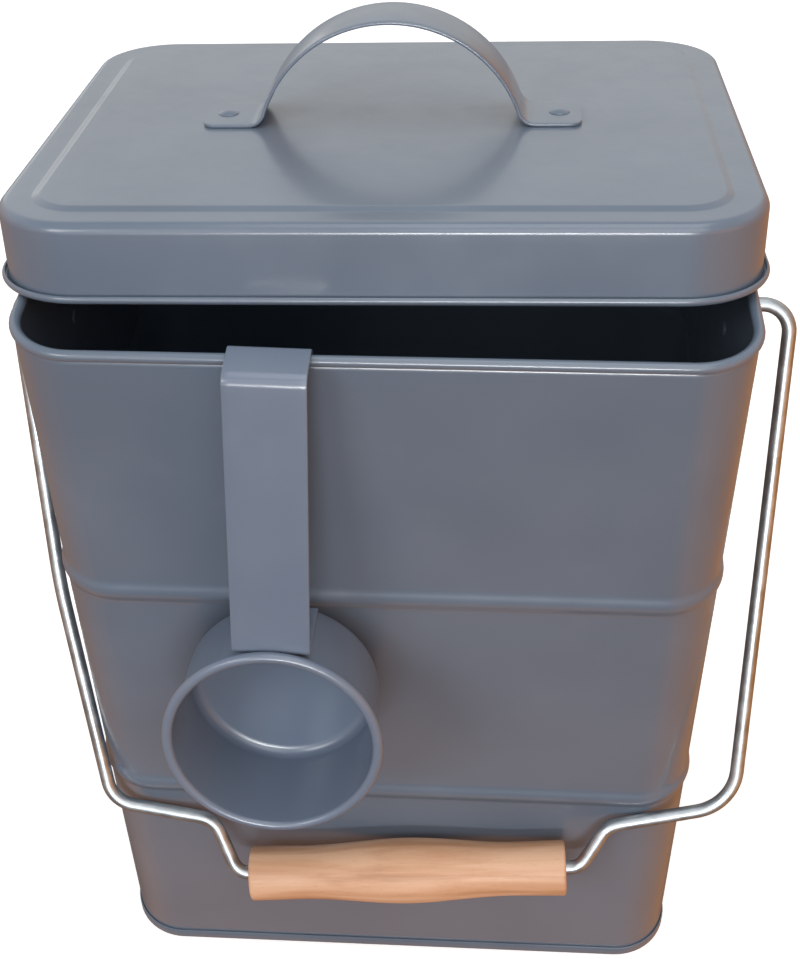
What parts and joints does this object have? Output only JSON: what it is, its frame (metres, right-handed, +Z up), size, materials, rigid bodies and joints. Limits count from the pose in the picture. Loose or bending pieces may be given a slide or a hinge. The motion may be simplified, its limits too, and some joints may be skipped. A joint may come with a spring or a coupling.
{
  "type": "storage tin",
  "caption": "Tall rectangular painted steel storage tin with a slip lid, a strap lid handle, a hook-on round scoop and a swinging wire bail with a wooden grip.",
  "frame": {"origin": "middle of the tin's footprint, on the surface it stands on", "axes": "+Z up, -Y towards the front with the scoop and the resting bail, +X to the right seen from the front"},
  "size_m": [0.2338, 0.2241, 0.3038],
  "materials": {
    "painted_steel": "satin grey enamel paint",
    "galvanised_wire": "zinc-plated drawn wire",
    "pale_wood": "turned and lightly sealed"
  },
  "bodies": {
    "tin": {"tin_body": "painted_steel", "tin_base": "painted_steel", "ear_left": "painted_steel", "ear_right": "painted_steel", "ear_rivets_left": "painted_steel", "ear_rivets_right": "painted_steel"},
    "lid": {"lid_shell": "painted_steel", "lid_handle": "painted_steel", "lid_rivet_left": "painted_steel", "lid_rivet_right": "painted_steel"},
    "scoop": {"scoop_cup": "painted_steel", "scoop_strap": "painted_steel", "scoop_rivets": "painted_steel"},
    "bail": {"bail_wire": "galvanised_wire"},
    "grip": {"grip": "pale_wood"}
  },
  "joints": [
    {"name": "lid_lift", "type": "slide", "parent": "tin", "child": "lid", "axis": [0, 0, 1], "range_m": [0, 0.25]},
    {"name": "scoop_lift", "type": "slide", "parent": "tin", "child": "scoop", "axis": [0, 0, 1], "range_m": [0, 0.2]},
    {"name": "bail_swing", "type": "hinge", "parent": "tin", "child": "bail", "pos_m": [0, 0, 0.2275], "axis": [-1, 0, 0], "range_deg": [0, 303.22]},
    {"name": "grip_spin", "type": "hinge", "parent": "bail", "child": "grip", "pos_m": [0.00545, -0.0882, 0.06425], "axis": [0.9981, 0.0294, 0.0545], "continuous": true}
  ]
}
